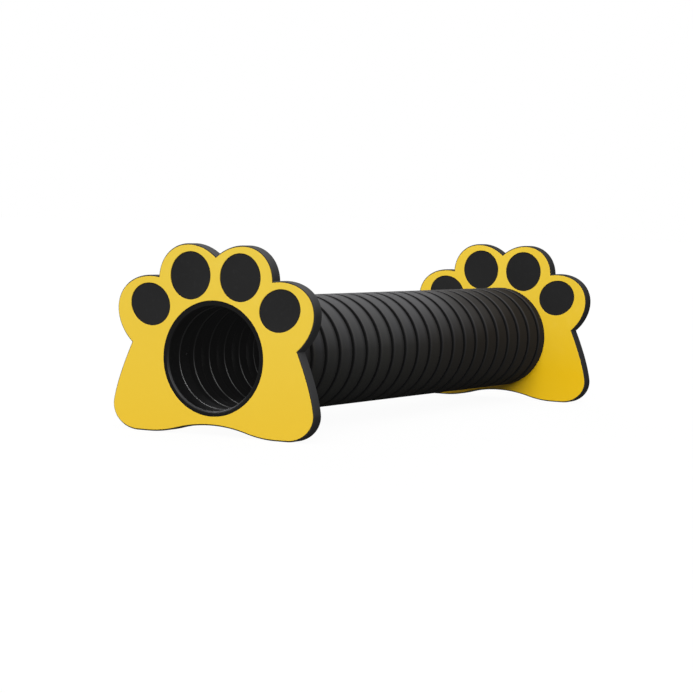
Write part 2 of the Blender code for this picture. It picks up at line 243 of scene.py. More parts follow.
# Which part of each noise shows, how fine it is, and how deep the bumps are in metres
plastic = {
    "cloudRange": (0.30, 0.70),
    "cloudDetail": 3.0,
    "markRange": (0.56, 0.74),
    "markDetail": 6.0,
    "roughRange": (0.35, 0.70),
    "bumpDetail": 2.0,
    "swellDepth": 0.0020,
    "grainDepth": 0.0004,
}


def mouldedPlastic(name, look):
    # Even plastic with cloudy colour, a fine grain and faint handling marks, then the look's fades,
    # which are painted light and shade, and a faint painted glow
    made, nodes, links = newMaterial(name)
    shader = nodes["Principled BSDF"]
    even = (1.0, 1.0, 1.0)
    stretch = look.get("stretch", even)
    cloud = objectNoise(nodes, links, look["cloudScale"], plastic["cloudDetail"],
                        look.get("cloudStretch", even))
    marks = objectNoise(nodes, links, look["markScale"], plastic["markDetail"],
                        look.get("markStretch", stretch))
    grain = objectNoise(nodes, links, look["grainScale"], plastic["bumpDetail"], stretch)
    swell = objectNoise(nodes, links, look["swellScale"], plastic["bumpDetail"], stretch)
    clouded = remap(nodes, links, cloud, *plastic["cloudRange"], 0.0, 1.0)
    colour = mixColours(nodes, links, clouded, look["deepColour"], look["paleColour"])
    marked = remap(nodes, links, marks, *plastic["markRange"], 0.0, look["markAmount"])
    colour = mixColours(nodes, links, marked, colour, look["markColour"])
    for fade in look.get("fades", ()):
        place = objectPlace(nodes, links, fade["along"])
        amount = remap(nodes, links, place, fade["start"], fade["end"], 0.0, fade["amount"])
        if "growing" in fade:
            along, start, end = fade["growing"]
            grown = remap(nodes, links, objectPlace(nodes, links, along), start, end, 0.0, 1.0)
            amount = calculate(nodes, links, "MULTIPLY", amount, grown)
        colour = mixColours(nodes, links, amount, colour, fade["colour"])
    links.new(colour, shader.inputs["Base Color"])
    rough = remap(nodes, links, marks, *plastic["roughRange"], look["roughLow"], look["roughHigh"])
    links.new(rough, shader.inputs["Roughness"])
    shader.inputs["Specular IOR Level"].default_value = look["gloss"]
    shader.inputs["Sheen Weight"].default_value = look.get("dust", 0.0)
    shader.inputs["Sheen Roughness"].default_value = look.get("dustRoughness", 0.5)
    # A painted glow: the plastic gives off this faint tone, so that even a hollow that no lamp
    # reaches shows it
    hollow = look.get("paintedGlow", (0.0, 0.0, 0.0))
    shader.inputs["Emission Color"].default_value = (*hollow, 1.0)
    shader.inputs["Emission Strength"].default_value = 1.0
    slow = addBump(nodes, links, swell, look["swellBump"], plastic["swellDepth"])
    fine = addBump(nodes, links, grain, look["grainBump"], plastic["grainDepth"], slow)
    links.new(fine, shader.inputs["Normal"])
    return made


yellowLook = {
    "deepColour": (0.780, 0.540, 0.046), "paleColour": (0.810, 0.584, 0.062),
    "markColour": (0.86, 0.66, 0.14), "markAmount": 0.10,
    "cloudScale": 2.2, "markScale": 26.0, "grainScale": 950.0, "swellScale": 38.0,
    "grainBump": 0.16, "swellBump": 0.05, "roughLow": 0.36, "roughHigh": 0.48, "gloss": 0.30,
    # Painted shade: the yellow is painted deeper towards the bottom
    "fades": [{"along": "Z", "start": 0.70, "end": 0.05, "amount": 1.0,
               "colour": (0.800, 0.526, 0.031)}],
}
# The faces that look along the pipe are in less light: their yellow is painted deeper, most of all
# low down, as painted shade
yellowInnerLook = dict(yellowLook, deepColour=(0.800, 0.540, 0.034),
                       paleColour=(0.830, 0.578, 0.046),
                       fades=[{"along": "Z", "start": 0.60, "end": 0.15, "amount": 1.0,
                               "colour": (0.800, 0.490, 0.004)}])
# The skins' sawn sides, with the same yellow painted deeper towards the bottom as painted shade
yellowCutLook = dict(yellowLook, deepColour=(0.70, 0.45, 0.025), paleColour=(0.80, 0.55, 0.06),
                     markScale=240.0, markStretch=(1.0, 9.0, 1.0), markAmount=0.35,
                     roughLow=0.5, roughHigh=0.7)
# The black core where it shows under the pads
coreFaceLook = {
    "deepColour": (0.0128, 0.0128, 0.0130), "paleColour": (0.0152, 0.0152, 0.0154),
    "markColour": (0.030, 0.030, 0.031), "markAmount": 0.25,
    "cloudScale": 5.0, "markScale": 55.0, "grainScale": 700.0, "swellScale": 90.0,
    "grainBump": 0.35, "swellBump": 0.06, "roughLow": 0.50, "roughHigh": 0.66, "gloss": 0.08,
}
# The routed edge: fine cutter lines that follow the outline at one depth each
coreEdgeLook = dict(coreFaceLook, deepColour=(0.0145, 0.0145, 0.0147),
                    paleColour=(0.0175, 0.0175, 0.0178), markColour=(0.034, 0.034, 0.035),
                    markScale=60.0, markStretch=(0.5, 14.0, 0.5), markAmount=0.35,
                    grainScale=260.0, stretch=(0.35, 4.5, 0.35), grainBump=0.15,
                    roughLow=0.38, roughHigh=0.56, gloss=0.0,
                    # It gives off a faint painted glow, is painted paler where it looks up as
                    # painted light, and darker towards the far end as painted shade
                    paintedGlow=(0.0110, 0.0110, 0.0112),
                    fades=[{"along": "up", "start": 0.0, "end": 0.9, "amount": 1.0,
                            "colour": (0.075, 0.075, 0.078)},
                           {"along": "Y", "start": -1.2, "end": 1.2, "amount": 0.60,
                            "colour": (0.008, 0.008, 0.008)}])
# Painted light and shade: paler on the upper side, darker on the lower side, by each groove and
# towards the far end, with a faint painted glow
pipeLook = {
    "deepColour": (0.0290, 0.0290, 0.0335), "paleColour": (0.0315, 0.0310, 0.0290),
    "markColour": (0.055, 0.051, 0.046), "markAmount": 0.22,
    "cloudScale": 7.0, "cloudStretch": (0.25, 1.0, 0.25),
    "markScale": 34.0, "markStretch": (1.0, 0.35, 1.0),
    "grainScale": 420.0, "swellScale": 26.0,
    "grainBump": 0.20, "swellBump": 0.12, "roughLow": 0.50, "roughHigh": 0.66, "gloss": 0.0,
    "dust": 0.05, "dustRoughness": 0.40, "paintedGlow": (0.0026, 0.0026, 0.0026),
    # Painted shade on the lower side
    "fades": [{"along": "Z", "start": 0.40, "end": 0.21, "amount": 1.0,
               "colour": (0.0192, 0.0195, 0.0165)},
              # Painted highlight on the upper side
              {"along": "Z", "start": 0.36, "end": 0.60, "amount": 1.0,
               "colour": (0.096, 0.096, 0.099)},
              # Painted shade on each rib's far side, before the next groove
              {"along": "rib", "start": 0.66, "end": 0.87, "amount": 0.75,
               "colour": (0.006, 0.006, 0.006)},
              # Painted shade, dark brown, that grows towards the far end
              {"along": "slant", "start": -1.75, "end": -0.55, "amount": 0.93,
               "colour": (0.0108, 0.0076, 0.0038)},
              # More painted shade on the top of the far half
              {"along": "Y", "start": 0.38, "end": 0.62, "amount": 0.45,
               "colour": (0.0108, 0.0076, 0.0038), "growing": ("Z", 0.47, 0.54)},
              # Painted highlight on the rib's shoulder just past each groove, upper side
              {"along": "rib", "start": 0.21, "end": 0.15, "amount": 0.8,
               "colour": (0.056, 0.053, 0.049), "growing": ("Z", 0.30, 0.50)}],
}
# The ribs' shoulders stay paler than the rest at the far end: a painted highlight
ribShoulderHighlightLook = dict(pipeLook, fades=pipeLook["fades"][:2] + [
    {"along": "slant", "start": -1.75, "end": -0.55, "amount": 0.45,
     "colour": (0.0125, 0.0112, 0.0090)}])
# The grooves: painted near-black as painted shade, darker the deeper they lie, with a faint painted
# glow
groovePaintedShadeLook = dict(pipeLook, deepColour=(0.0028, 0.0028, 0.0029),
                  paleColour=(0.0036, 0.0036, 0.0036), markColour=(0.007, 0.0065, 0.006),
                  roughLow=0.7, roughHigh=0.9, dust=0.0, paintedGlow=(0.0030, 0.0030, 0.0030),
                  fades=[{"along": "radius", "start": 0.2555, "end": 0.2630, "amount": 1.0,
                          "colour": (0.020, 0.020, 0.0215)}])
# The smooth inner wall, never in the sun: painted near-black as painted shade, with a faint even
# painted glow
linerLook = dict(pipeLook, deepColour=(0.0008, 0.0008, 0.0009), paleColour=(0.0011, 0.0011, 0.0011),
                 markColour=(0.004, 0.0039, 0.0037), roughLow=0.30, roughHigh=0.35,
                 grainBump=0.04, swellBump=0.06, gloss=0.045, dust=0.0,
                 paintedGlow=(0.0038, 0.0038, 0.0038), fades=[])
# The entry collar gives off a faint painted glow
collarLook = dict(coreFaceLook, deepColour=(0.0018, 0.0018, 0.0019),
                  paleColour=(0.0026, 0.0026, 0.0027), markColour=(0.012, 0.012, 0.012),
                  grainBump=0.05, roughLow=0.29, roughHigh=0.34, gloss=0.058,
                  paintedGlow=(0.0034, 0.0034, 0.0034))
# The collar's rounded lip is painted paler where it looks up and a little to +X: a painted
# highlight
collarLipHighlightLook = dict(collarLook, fades=[{"along": "upRight", "start": 0.15, "end": 0.80,
                                         "amount": 1.0, "colour": (0.029, 0.029, 0.030)}])


def coatedSteel(name, look):
    # Black coated steel, a little bright where the coat has thinned
    made, nodes, links = newMaterial(name)
    shader = nodes["Principled BSDF"]
    wear = objectNoise(nodes, links, look["wearScale"], look["wearDetail"])
    worn = remap(nodes, links, wear, *look["wearRange"], 0.0, look["wearAmount"])
    colour = mixColours(nodes, links, worn, look["coat"], look["steel"])
    links.new(colour, shader.inputs["Base Color"])
    rough = remap(nodes, links, wear, *look["roughRange"], look["roughLow"], look["roughHigh"])
    links.new(rough, shader.inputs["Roughness"])
    shader.inputs["Metallic"].default_value = look["metal"]
    grain = objectNoise(nodes, links, look["grainScale"], look["grainDetail"])
    bumped = addBump(nodes, links, grain, look["grainBump"], look["grainDepth"])
    links.new(bumped, shader.inputs["Normal"])
    return made


steelLook = {
    "coat": (0.010, 0.010, 0.0105), "steel": (0.20, 0.20, 0.21), "metal": 0.85,
    "wearScale": 420.0, "wearDetail": 5.0, "wearRange": (0.60, 0.70), "wearAmount": 0.6,
    "roughRange": (0.30, 0.70), "roughLow": 0.30, "roughHigh": 0.50,
    "grainScale": 2200.0, "grainDetail": 2.0, "grainBump": 0.15, "grainDepth": 0.0001,
}

# Entry collar

collar = {
    "boreRadius": 0.228,
    "sleeveWall": 0.004,
    "flangeWidth": 0.0237,
    "lipRound": 0.013,
    "rimRound": 0.0010,
    "backRound": 0.0003,        # where the flange turns into the sleeve
    "tipRound": 0.0012,
    "roundSteps": 6,
    "sleeveTip": 0.1003,        # past the board's inner face
    "bead": (0.0045, 0.0060),   # height and width of the moulded ring in the bore
    "beadDepth": 0.092,         # from the board's outer face to that ring
    "beadSteps": 10,
    "flats": 40,                # the moulded bore has flats, and the screws' heads sit on them
    "sides": 192,
}

# End board

board = {
    "thickness": 0.070,
    "skin": 0.004,
    "skinInset": 0.006,
    "edgeRound": 0.0045,
    "skinEdgeRound": 0.0007,
    "skinBackRound": 0.0002,
    "roundSteps": 4,
    "holeSides": 192,
}
flangeRadius = collar["boreRadius"] + collar["flangeWidth"]
skinHoleRadius = flangeRadius + seatGap
sleeveRadius = collar["boreRadius"] + collar["sleeveWall"]

# Paw outline, seen from outside, measured from the tunnel's centre line. Angles in degrees.
paw = {
    "innerPad": {"angle": 70.6, "web": 0.0205, "halfWidth": 0.1020, "halfHeight": 0.1052,
                 "tilt": 0.0},
    "outerPad": {"angle": 34.3, "web": 0.0400, "halfWidth": 0.1028, "halfHeight": 0.0922,
                 "tilt": 22.0},
    "innerToe": {"shift": (-0.0229, -0.0504), "halfLength": 0.2043, "halfWidth": 0.1706,
                 "tilt": 47.6},
    "outerToe": {"shift": (-0.0469, -0.0587), "halfLength": 0.2283, "halfWidth": 0.1744,
                 "tilt": 27.0},
    "topSearch": (0.0, 170.0),      # where on the inner toe its top crossing with the middle lies
    "notchSearch": (-80.0, 20.0),   # and where its crossing with the outer toe lies
    "halvings": 50,                 # how often each search halves its range
    "waistAngle": -71.0,
    "holeToArch": 0.0397,
    "archRise": 0.0444,
    "archShare": 0.55,
    "footOutset": 0.1240,
    "footHalfWidth": 0.1328,
    "footHalfHeight": 0.1131,
    "footFlat": 0.056,
    "footTopAngle": 8.0,
    "sideLean": 0.45,
    "toePoints": 64,
    "footPoints": 34,
    "sidePoints": 16,
    "archPoints": 40,
    "padPoints": 96,
}
axisHeight = skinHoleRadius + paw["holeToArch"] + paw["archRise"]


def ellipsePoint(ellipse, degrees):
    cx, cz, halfLength, halfWidth, tilt = ellipse
    along = halfLength * math.cos(math.radians(degrees))
    across = halfWidth * math.sin(math.radians(degrees))
    turn = math.radians(tilt)
    return (cx + along * math.cos(turn) - across * math.sin(turn),
            cz + along * math.sin(turn) + across * math.cos(turn))


def ellipseAngle(ellipse, point):
    # The ellipse's own angle for a point, and how far out the point is (1 is on the line)
    cx, cz, halfLength, halfWidth, tilt = ellipse
    turn = math.radians(tilt)
    dx, dz = point[0] - cx, point[1] - cz
    along = (dx * math.cos(turn) + dz * math.sin(turn)) / halfLength
    across = (dz * math.cos(turn) - dx * math.sin(turn)) / halfWidth
    return math.degrees(math.atan2(across, along)), math.hypot(along, across)


def ellipseArc(ellipse, start, end, points):
    return [ellipsePoint(ellipse, start + (end - start) * i / points) for i in range(points + 1)]


def findCrossing(test, low, high):
    # The angle between low and high at which the test changes sign
    for _ in range(paw["halvings"]):
        middle = (low + high) / 2
        if test(low) * test(middle) <= 0:
            high = middle
        else:
            low = middle
    return (low + high) / 2


def padEllipse(pad):
    # Its centre lies the web and the pad's own reach beyond the hole
    towardsHole = math.radians(pad["angle"] - pad["tilt"])
    reach = math.hypot(pad["halfWidth"] * math.cos(towardsHole),
                       pad["halfHeight"] * math.sin(towardsHole))
    x, z = onCircle(skinHoleRadius + pad["web"] + reach, pad["angle"])
    return x, z, pad["halfWidth"], pad["halfHeight"], pad["tilt"]


def toeEllipse(toe, pad):
    # The lobe round a pad, shifted from the pad's centre
    x, z = pad[0] + toe["shift"][0], pad[1] + toe["shift"][1]
    return x, z, toe["halfLength"], toe["halfWidth"], toe["tilt"]


def mirrorEllipse(ellipse):
    return -ellipse[0], ellipse[1], ellipse[2], ellipse[3], -ellipse[4]


innerPad = padEllipse(paw["innerPad"])
outerPad = padEllipse(paw["outerPad"])
innerToe = toeEllipse(paw["innerToe"], innerPad)
outerToe = toeEllipse(paw["outerToe"], outerPad)
foot = (skinHoleRadius + paw["footOutset"], paw["footHalfHeight"] - axisHeight,
        paw["footHalfWidth"], paw["footHalfHeight"], 0.0)


def archHalf():
    # A hollow arc over the middle that turns into a full one towards the foot
    span = foot[0] - paw["footFlat"]
    hollow = span * paw["archShare"]
    slope = 2 * paw["archRise"] / span
    points = []
    for i in range(paw["archPoints"] + 1):
        x = span * i / paw["archPoints"]
        if x <= hollow:
            drop = slope * x * x / (2 * hollow)
        else:
            drop = paw["archRise"] - slope * (span - x) ** 2 / (2 * (span - hollow))
        points.append((x, paw["archRise"] - axisHeight - drop))
    return points


def sideFlare(footEnd, waist):
    # A curve that leaves the foot along its arc and meets the waist at the side's lean
    turn = math.radians(paw["footTopAngle"])
    footLean = foot[2] * math.sin(turn) / (foot[3] * math.cos(turn))
    rise = waist[1] - footEnd[1]
    belowWaist = (footEnd[0] - waist[0] - footLean * rise) / (paw["sideLean"] - footLean)
    bend = Vector((waist[0] + paw["sideLean"] * belowWaist, waist[1] - belowWaist))
    points = []
    for i in range(1, paw["sidePoints"]):
        t = i / paw["sidePoints"]
        p = (1 - t) ** 2 * Vector(footEnd) + 2 * t * (1 - t) * bend + t * t * Vector(waist)
        points.append((p.x, p.y))
    return points


def fromMiddle(degrees):
    # How far to the right of the middle a point of the inner toe lies
    return ellipsePoint(innerToe, degrees)[0]


def fromOuterToe(degrees):
    # Above 0 where a point of the inner toe lies outside the outer toe
    return ellipseAngle(outerToe, ellipsePoint(innerToe, degrees))[1] - 1


def pawOutline():
    innerEnd = findCrossing(fromMiddle, *paw["topSearch"])
    innerStart = findCrossing(fromOuterToe, *paw["notchSearch"])
    outerEnd = ellipseAngle(outerToe, ellipsePoint(innerToe, innerStart))[0]
    footArc = ellipseArc(foot, -90.0, paw["footTopAngle"], paw["footPoints"])
    outerArc = ellipseArc(outerToe, paw["waistAngle"], outerEnd, paw["toePoints"])
    innerArc = ellipseArc(innerToe, innerStart, innerEnd, paw["toePoints"])
    half = archHalf() + footArc + sideFlare(footArc[-1], outerArc[0]) + outerArc + innerArc[1:]
    half[0] = (0.0, half[0][1])
    half[-1] = (0.0, half[-1][1])
    return half + [(-x, z) for x, z in reversed(half[1:-1])]


def insetLoop(loop, distance):
    # A closed line moved inward, with sharp corners held back
    moved = []
    for i, point in enumerate(loop):
        before = (Vector(point) - Vector(loop[i - 1])).normalized()
        after = (Vector(loop[(i + 1) % len(loop)]) - Vector(point)).normalized()
        inward = Vector((-before.y - after.y, before.x + after.x)).normalized()
        shrink = distance / max(inward.dot(Vector((-before.y, before.x))), corner["insetShare"])
        moved.append((point[0] + inward.x * shrink, point[1] + inward.y * shrink))
    return moved


def edgeLayers(outer, inner, outerRound, innerRound):
    # How far in and how deep each line of a plate's rounded edge lies, from one face to the other
    steps = board["roundSteps"]
    angles = [math.pi / 2 * i / steps for i in range(steps + 1)]
    outerLayers = [(outerRound * (1 - math.sin(a)), outer + outerRound * (1 - math.cos(a)))
                   for a in angles]
    innerLayers = [(innerRound * (1 - math.cos(a)), inner - innerRound * (1 - math.sin(a)))
                   for a in angles]
    return outerLayers + innerLayers


def boardPlate(name, outline, holes, layers, place):
    # A plate with rounded edges; side faces carry the second material
    bm = bmesh.new()
    firstRings = []
    lastRings = []
    for loop, direction in [(outline, 1.0)] + [(hole, -1.0) for hole in holes]:
        rings = []
        for setBack, y in layers:
            ring = insetLoop(loop, direction * setBack) if setBack > smallest else loop
            rings.append([bm.verts.new(place @ Vector((x, y, z))) for x, z in ring])
        for first, second in zip(rings, rings[1:]):
            for face in joinRings(bm, first, second):
                face.material_index = 1
        firstRings.append(rings[0])
        lastRings.append(rings[-1])
    for group in (firstRings, lastRings):
        edges = []
        for ring in group:
            for i, vert in enumerate(ring):
                edge = bm.edges.get((vert, ring[(i + 1) % len(ring)]))
                edge.smooth = False
                edges.append(edge)
        bmesh.ops.triangle_fill(bm, use_beauty=True, use_dissolve=False, edges=edges)
    return smoothMesh(bm, name)


pipe = {
    "grooves": 22,
    "endRib": 0.082,            # pipe end to the middle of the first groove
    "mouth": 0.032,
    "floor": 0.022,
    "depth": 0.0259,
    "wall": 0.003,
    "liner": 0.0025,
    "shoulderRound": 0.0055,
    "floorRound": 0.004,
    "endRound": 0.0012,
    "roundSteps": 5,
    "ribBead": (0.0050, 0.0066),    # height and width of the swelling inside each rib
    "grooveBead": (0.0016, 0.007),  # and where the liner is fused to a groove
    "beadSteps": 8,
    "shoulderStart": 0.0002,        # how far below the crest a rib's shoulder, painted paler as a painted highlight, starts
    "shoulderDepth": 0.0016,        # and how far it reaches
    "sides": 176,
}
linerRadius = sleeveRadius + seatGap
ridgeRadius = linerRadius + pipe["liner"] + seatGap
floorRadius = ridgeRadius + pipe["wall"]
crestRadius = floorRadius + pipe["depth"]
pipeLength = (pipe["grooves"] - 1) * ribPitch + 2 * pipe["endRib"]
endPlane = pipeLength / 2 + seatGap        # the board's inner face


def pipeProfile():
    # Outer wall from end to end and the inner wall back, one thickness of plastic apart
    lean = math.atan2((pipe["mouth"] - pipe["floor"]) / 2, pipe["depth"])
    shift = pipe["wall"] * (1 / math.cos(lean) - math.tan(lean))
    start = -pipeLength / 2
    outer = [(crestRadius, start)]
    inner = [(crestRadius - pipe["wall"], start)]
    outerRound = [pipe["endRound"]]
    innerRound = [pipe["endRound"]]
    for i in range(pipe["grooves"]):
        y = start + pipe["endRib"] + ribPitch * i
        for sign, order in ((-1, ("mouth", "floor")), (1, ("floor", "mouth"))):
            for key in order:
                half = pipe[key] / 2
                atFloor = key == "floor"
                outer.append((floorRadius if atFloor else crestRadius, y + sign * half))
                inner.append((ridgeRadius if atFloor else crestRadius - pipe["wall"],
                              y + sign * (half + shift)))
                outerRound.append(pipe["floorRound"] if atFloor else pipe["shoulderRound"])
                innerRound.append(pipe["floorRound"] + pipe["wall"] if atFloor
                                  else pipe["shoulderRound"] - pipe["wall"])
    outer.append((crestRadius, -start))
    inner.append((crestRadius - pipe["wall"], -start))
    outerRound.append(pipe["endRound"])
    innerRound.append(pipe["endRound"])
    rounds = outerRound + innerRound[::-1]
    return roundedCorners(outer + inner[::-1], rounds, pipe["roundSteps"])


def beadPoints(radius, y, height, width, steps):
    # A low rounded ring inside a bore, centred on y
    points = []
    for step in range(steps + 1):
        along = 2 * step / steps - 1
        points.append((radius - height * math.cos(along * math.pi / 2) ** 2, y + along * width / 2))
    return points


def linerProfile():
    # A smooth bore that swells a little inside each rib, and less at each groove past the collar
    start = -pipeLength / 2
    firstGroove = start + pipe["endRib"]
    bore = [(linerRadius, start)]
    for i in range(pipe["grooves"] - 1):
        if i > 0:
            bore += beadPoints(linerRadius, firstGroove + ribPitch * i, *pipe["grooveBead"],
                               pipe["beadSteps"])
        bore += beadPoints(linerRadius, firstGroove + ribPitch * (i + 0.5), *pipe["ribBead"],
                           pipe["beadSteps"])
    bore.append((linerRadius, -start))
    outside = linerRadius + pipe["liner"]
    return [(outside, start)] + bore + [(outside, -start)]


def markZones(mesh):
    # Second material, with a painted highlight, for the ribs' shoulders, and third, painted shade,
    # for what lies deeper in the grooves
    for face in mesh.polygons:
        depth = crestRadius - math.hypot(face.center.x, face.center.z)
        if depth > pipe["shoulderDepth"]:
            face.material_index = 2
        elif depth > pipe["shoulderStart"]:
            face.material_index = 1


def buildPipe():
    outer = turnedMesh("ribbedPipe", pipeProfile(), pipe["sides"])
    markZones(outer)
    liner = turnedMesh("pipeLiner", linerProfile(), pipe["sides"])
    for mesh, node, finishes in ((outer, "corrugated_pipe", (pipeBlack, ribShoulderHighlight, groovePaintedShade)),
                                 (liner, "pipe_liner", (linerBlack,))):
        mesh.transform(Matrix.Translation((0.0, 0.0, axisHeight)))
        for finish in finishes:
            mesh.materials.append(finish)
        dress(placeObject(mesh.name, mesh), node)
        print("Turned:", mesh.name, len(mesh.polygons), "faces")


def endPlace(side):
    # The board's own frame: its -Y points out of the tunnel
    if side == "near":
        return Matrix.Translation((0.0, -endPlane, axisHeight))
    return Matrix.Translation((0.0, endPlane, axisHeight)) @ Matrix.Rotation(math.pi, 4, "Z")


def buildBoard(side):
    place = endPlace(side)
    outline = pawOutline()
    skinOutline = insetLoop(outline, board["skinInset"])
    outerFace = -board["thickness"]
    skin = board["skin"]
    sleeveHole = circleLoop(sleeveRadius + seatGap, board["holeSides"])
    flangeHole = circleLoop(skinHoleRadius, board["holeSides"])
    pads = [ellipseArc(shape, 0.0, 360.0, paw["padPoints"])[:-1]
            for shape in (innerPad, outerPad, mirrorEllipse(innerPad), mirrorEllipse(outerPad))]

    coreLayers = edgeLayers(outerFace + skin, -skin, board["edgeRound"], board["edgeRound"])
    core = boardPlate(side + "Core", outline, [sleeveHole], coreLayers, place)
    core.materials.append(coreFace)
    core.materials.append(coreEdge)
    dress(placeObject(side + "Core", core), side + "_core_board")

    eased, backRound = board["skinEdgeRound"], board["skinBackRound"]
    outerLayers = edgeLayers(outerFace, outerFace + skin - seatGap, eased, backRound)
    innerLayers = edgeLayers(-skin + seatGap, 0.0, backRound, eased)
    for label, node, layers, hole, finish in (
            ("OuterSkin", "_outer_skin", outerLayers, flangeHole, yellowFace),
            ("InnerSkin", "_inner_skin", innerLayers, sleeveHole, yellowInner)):
        mesh = boardPlate(side + label, skinOutline, [hole] + pads, layers, place)
        mesh.materials.append(finish)
        mesh.materials.append(yellowCut)
        dress(placeObject(side + label, mesh), side + node)


def collarProfile():
    face = -board["thickness"]
    back = face + board["skin"] - seatGap
    tip = collar["sleeveTip"]
    points = [(collar["boreRadius"], tip), (collar["boreRadius"], face), (flangeRadius, face),
              (flangeRadius, back), (sleeveRadius, back), (sleeveRadius, tip)]
    radii = [collar[key] for key in ("tipRound", "lipRound", "rimRound", "backRound", "backRound",
                                     "tipRound")]
    ring = beadPoints(collar["boreRadius"], face + collar["beadDepth"], *collar["bead"],
                      collar["beadSteps"])
    points[1:1] = ring[::-1]
    radii[1:1] = [0.0] * len(ring)
    return roundedCorners(points, radii, collar["roundSteps"])


def buildCollar(side):
    mesh = turnedMesh(side + "Collar", collarProfile(), collar["sides"])
    lipStart = collar["boreRadius"] + seatGap
    lipEnd = collar["boreRadius"] + collar["lipRound"]
    # The rounded lip takes the material with the painted highlight
    for face in mesh.polygons:
        radius = math.hypot(face.center.x, face.center.z)
        if lipStart < radius < lipEnd and face.center.y < -board["skin"]:
            face.material_index = 1
    mesh.transform(endPlace(side))
    mesh.materials.append(collarBlack)
    mesh.materials.append(collarLipHighlight)
    dress(placeObject(side + "Collar", mesh), side + "_entry_collar")


yellowFace = mouldedPlastic("yellowFace", yellowLook)
yellowInner = mouldedPlastic("yellowInner", yellowInnerLook)
yellowCut = mouldedPlastic("yellowCut", yellowCutLook)
coreFace = mouldedPlastic("coreFace", coreFaceLook)
coreEdge = mouldedPlastic("coreEdge", coreEdgeLook)
pipeBlack = mouldedPlastic("pipeBlack", pipeLook)
ribShoulderHighlight = mouldedPlastic("ribShoulderHighlight", ribShoulderHighlightLook)
groovePaintedShade = mouldedPlastic("groovePaintedShade", groovePaintedShadeLook)
linerBlack = mouldedPlastic("linerBlack", linerLook)
collarBlack = mouldedPlastic("collarBlack", collarLook)
collarLipHighlight = mouldedPlastic("collarLipHighlight", collarLipHighlightLook)
blackSteel = coatedSteel("blackSteel", steelLook)
print("Materials made:", len(bpy.data.materials))

buildPipe()
for side in ("near", "far"):
    buildBoard(side)
    buildCollar(side)
    print("Board and collar built:", side)


# Screws, washers and nuts: each stands on +Z, which points away from the centre line

fastener = {
    "angles": (0.0, 90.0, 180.0, 270.0),
    "shank": 0.003,
    "headRadius": 0.00525,
    "headHeight": 0.0033,
    "headRim": 0.0010,
    "headShares": (0.56, 0.68, 0.80, 0.90, 0.97, 1.0),     # where the domed head gets its rings
    "socket": 0.004,
    "socketDepth": 0.0020,
    "washerRadius": 0.006,
    "washer": 0.0012,
    "washerRounds": (0.0001, 0.0001, 0.0003, 0.0001),
    "washerSteps": 3,
    "nutAcross": 0.010,
    "nutHeight": 0.005,
    "nutCrown": 0.97,           # share of the nut that stays flat at its ends
    "nutBevel": 0.0007,
    "nutMouth": (0.0009, 0.0006),   # width and depth of the bevel where the thread starts
    "beyondNut": 0.002,
    "threadStart": 0.0125,
    "threadPitch": 0.001,
    "threadDepth": 0.0004,
    "sharpAbove": 28.0,
    "sides": 36,
}


def roundLoop(radius):
    return circleLoop(radius, fastener["sides"])


def hexLoop(across):
    # A hexagon with as many points as the round loops, so that the two can be joined
    loop = []
    sector = 60.0
    for i in range(fastener["sides"]):
        degrees = 360.0 * i / fastener["sides"]
        offFlat = math.radians((degrees + sector / 2) % sector - sector / 2)
        loop.append(onCircle(across / 2 / math.cos(offFlat), degrees))
    return loop


def stackedMesh(name, loops, closed):
    # Loops joined in turn, then either the last one to the first or both ends capped
    bm = bmesh.new()
    rings = [[bm.verts.new((x, y, z)) for x, y in loop] for loop, z in loops]
    for first, second in zip(rings, rings[1:]):
        joinRings(bm, first, second)
    if closed:
        joinRings(bm, rings[-1], rings[0])
    else:
        bm.faces.new(rings[0])
        bm.faces.new(rings[-1])
    return smoothMesh(bm, name, fastener["sharpAbove"])


def screwMesh():
    # From the bottom of the socket over the domed head and down the threaded shank
    head = fastener["headHeight"]
    rim = fastener["headRim"]
    shank = fastener["shank"]
    gaps = 5                    # under the head, on both sides of the liner and of the washer
    end = (gaps * seatGap + collar["sleeveWall"] + pipe["liner"] + pipe["wall"]
           + fastener["washer"] + fastener["nutHeight"] + fastener["beyondNut"])
    loops = [(hexLoop(fastener["socket"]), fastener["socketDepth"] - head),
             (hexLoop(fastener["socket"]), -head)]
    for share in fastener["headShares"]:
        height = rim + (head - rim) * math.sqrt(1 - share * share)
        loops.append((roundLoop(fastener["headRadius"] * share), -height))
    loops += [(roundLoop(fastener["headRadius"]), 0.0), (roundLoop(shank), 0.0)]
    turns = int((end - fastener["threadStart"]) / fastener["threadPitch"])
    for i in range(turns):
        z = fastener["threadStart"] + fastener["threadPitch"] * i
        loops += [(roundLoop(shank - fastener["threadDepth"]), z),
                  (roundLoop(shank), z + fastener["threadPitch"] / 2)]
    loops.append((roundLoop(shank - fastener["threadDepth"]), end))
    return stackedMesh("screw", loops, False)


def washerMesh():
    hole, rim, thick = fastener["shank"] + seatGap, fastener["washerRadius"], fastener["washer"]
    points = [(hole, 0.0), (hole, thick), (rim, thick), (rim, 0.0)]
    points = roundedCorners(points, fastener["washerRounds"], fastener["washerSteps"])
    return stackedMesh("washer", [(roundLoop(r), z) for r, z in points], True)


def nutMesh():
    mouthWidth, mouthDepth = fastener["nutMouth"]
    hole = roundLoop(fastener["shank"] + seatGap)
    bevelled = roundLoop(fastener["shank"] + mouthWidth)
    crown = roundLoop(fastener["nutAcross"] / 2 * fastener["nutCrown"])
    sides = hexLoop(fastener["nutAcross"])
    height, bevel = fastener["nutHeight"], fastener["nutBevel"]
    loops = [(hole, mouthDepth), (hole, height - mouthDepth), (bevelled, height), (crown, height),
             (sides, height - bevel), (sides, bevel), (crown, 0.0), (bevelled, 0.0)]
    return stackedMesh("nut", loops, True)


